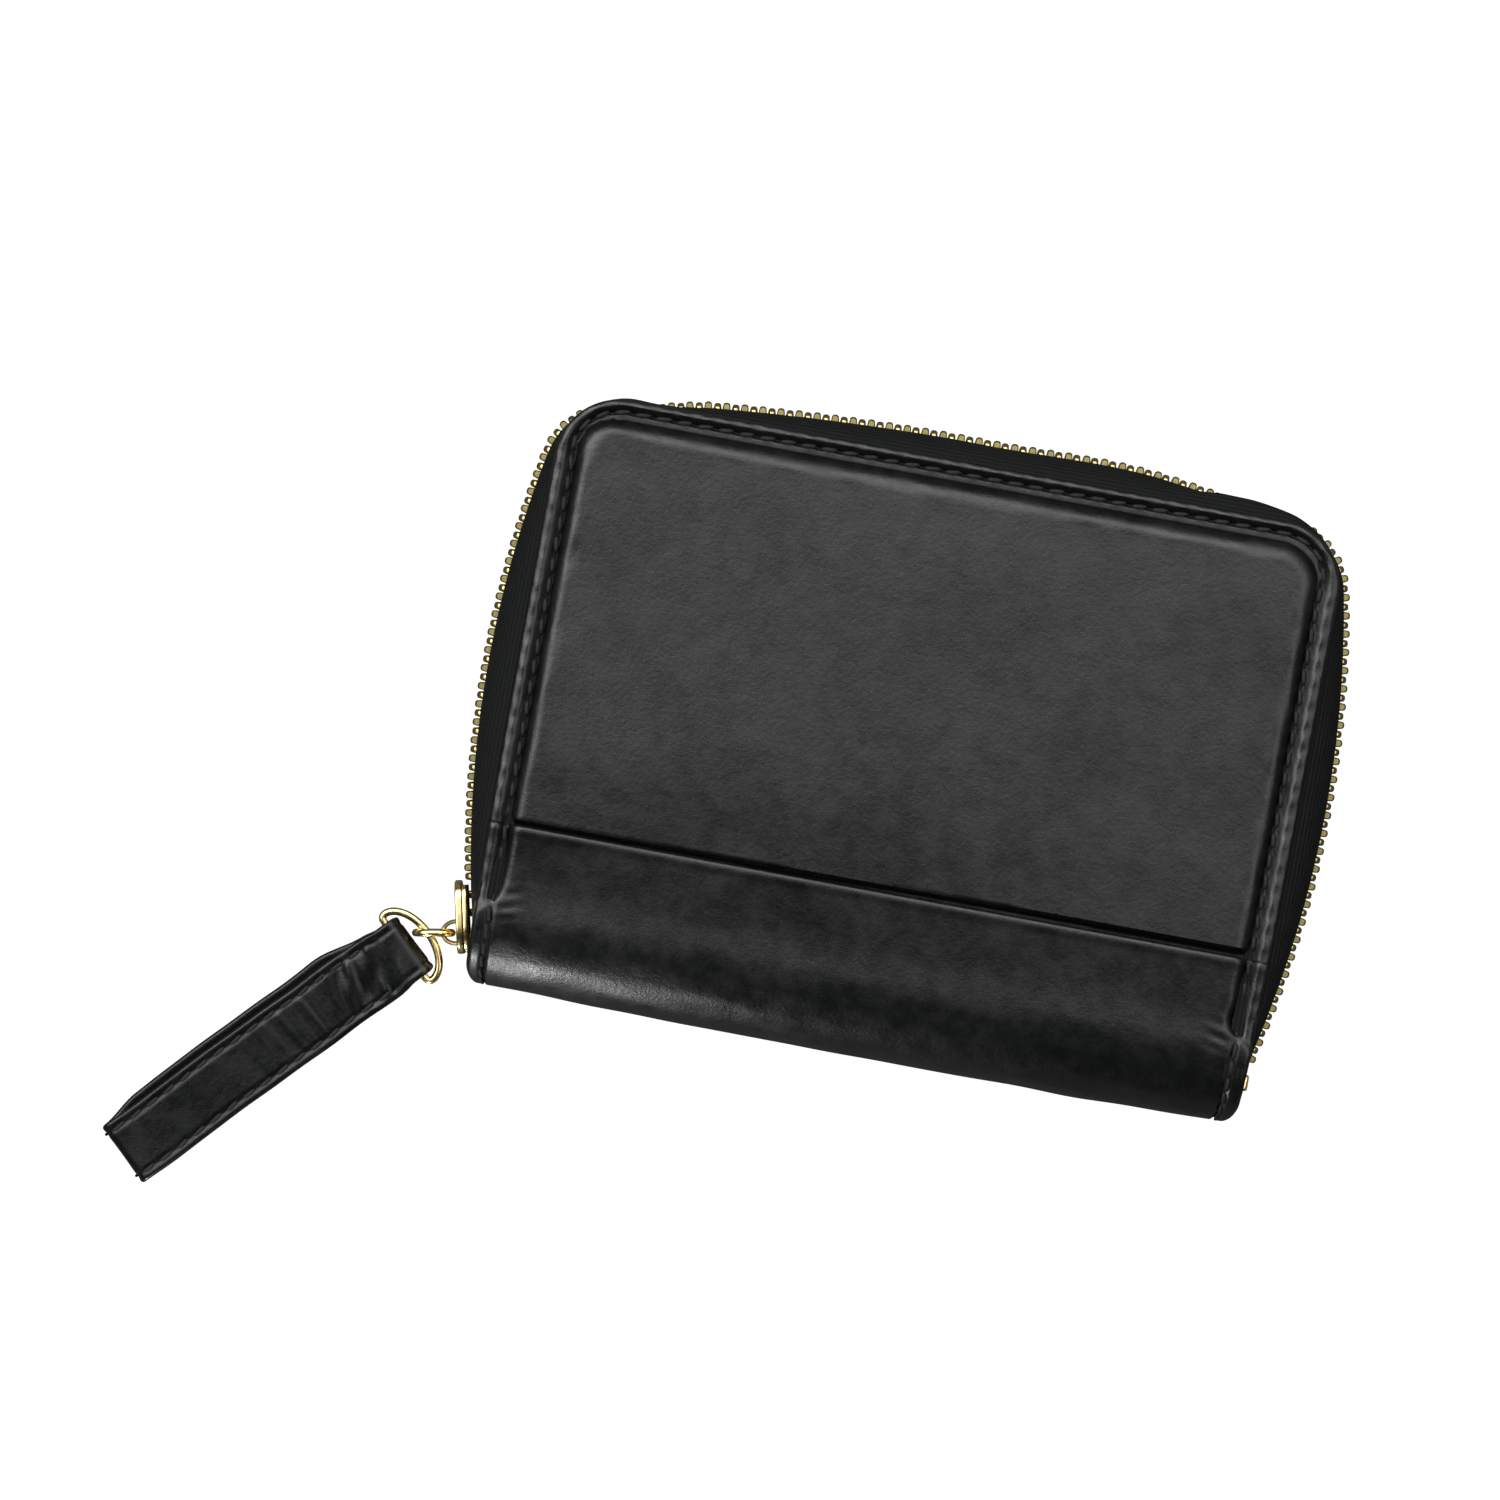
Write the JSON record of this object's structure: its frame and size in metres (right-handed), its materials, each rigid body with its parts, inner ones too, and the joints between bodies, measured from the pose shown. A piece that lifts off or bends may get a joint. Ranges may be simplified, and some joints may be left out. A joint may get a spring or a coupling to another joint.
{
  "type": "zip around wallet",
  "caption": "Compact zip around wallet: padded leather covers, spine band, metal zip with a link, D-ring and folded wrist pull, card slots and a zipped coin pouch.",
  "frame": {"origin": "middle of the raised flat face of the back cover, which the closed wallet rests on", "axes": "+X along the spine to the end away from the slider, +Y from the spine to the zipped top edge, +Z from the back cover to the front cover"},
  "size_m": [0.1627, 0.1253, 0.022],
  "materials": {
    "black_leather": "fine pebbled grain, semi-matt",
    "woven_tape": "matt woven polyester tape",
    "lining_cloth": "matt twill lining",
    "brass_hardware": "polished pale gold plating",
    "foam_padding": "open cell foam",
    "stiff_board": "uncoated fibre board"
  },
  "bodies": {
    "back_cover": {"back_board": "stiff_board", "back_card_slot_1": "black_leather", "back_card_slot_2": "black_leather", "back_card_slot_3": "black_leather", "back_lining": "lining_cloth", "back_padding": "foam_padding", "back_panel": "black_leather", "coin_pouch": "lining_cloth", "coin_zip_tape_back": "woven_tape", "coin_zip_tape_front": "woven_tape", "coin_zip_teeth_back": "brass_hardware", "coin_zip_teeth_front": "brass_hardware", "side_gusset_left": "lining_cloth", "side_gusset_right": "lining_cloth", "spine_cover": "black_leather", "spine_lining": "lining_cloth", "zip_end_tape_left": "woven_tape", "zip_end_tape_right": "woven_tape", "zip_stop": "brass_hardware", "zip_tape_back": "woven_tape", "zip_teeth_back": "brass_hardware"},
    "front_cover": {"front_band": "black_leather", "front_board": "stiff_board", "front_card_slot_1": "black_leather", "front_card_slot_2": "black_leather", "front_card_slot_3": "black_leather", "front_lining": "lining_cloth", "front_padding": "foam_padding", "front_panel": "black_leather", "zip_tape_front": "woven_tape", "zip_teeth_front": "brass_hardware"},
    "slider": {"slider": "brass_hardware"},
    "link_ring": {"link_ring": "brass_hardware"},
    "d_ring": {"d_ring": "brass_hardware"},
    "strap": {"strap": "black_leather"},
    "coin_slider": {"coin_zip_slider": "brass_hardware"},
    "coin_puller": {"coin_zip_puller": "brass_hardware"}
  },
  "joints": [
    {"name": "cover_hinge", "type": "hinge", "parent": "back_cover", "child": "front_cover", "pos_m": [0, -0.05175, 0.011], "axis": [1, 0, 0], "range_deg": [0, 100]},
    {"name": "slider_travel", "type": "hinge", "parent": "back_cover", "child": "slider", "pos_m": [0.0911, -0.00975, 0.011], "axis": [0, 0, 1], "range_deg": [-23, 0], "deforming": ["zip_teeth_back", "zip_teeth_front"]},
    {"name": "link_swing", "type": "hinge", "parent": "slider", "child": "link_ring", "pos_m": [-0.05787, -0.04555, 0.011], "axis": [0, 0, 1], "range_deg": [-60, 40]},
    {"name": "d_ring_lift", "type": "hinge", "parent": "link_ring", "child": "d_ring", "pos_m": [-0.06122, -0.04614, 0.011], "axis": [-0.7266, 0.6871, 0], "range_deg": [-10, 40]},
    {"name": "strap_lift", "type": "hinge", "parent": "d_ring", "child": "strap", "pos_m": [-0.064, -0.04908, 0.01036], "axis": [-0.7266, 0.6871, 0], "range_deg": [-25, 85]},
    {"name": "coin_slider_travel", "type": "slide", "parent": "back_cover", "child": "coin_slider", "axis": [1, 0, 0], "range_m": [0, 0.07], "deforming": ["coin_zip_teeth_back", "coin_zip_teeth_front"]},
    {"name": "coin_puller_swing", "type": "hinge", "parent": "coin_slider", "child": "coin_puller", "pos_m": [-0.0366, 0.01135, 0.011], "axis": [0, 0, 1], "range_deg": [-15, 130]}
  ]
}
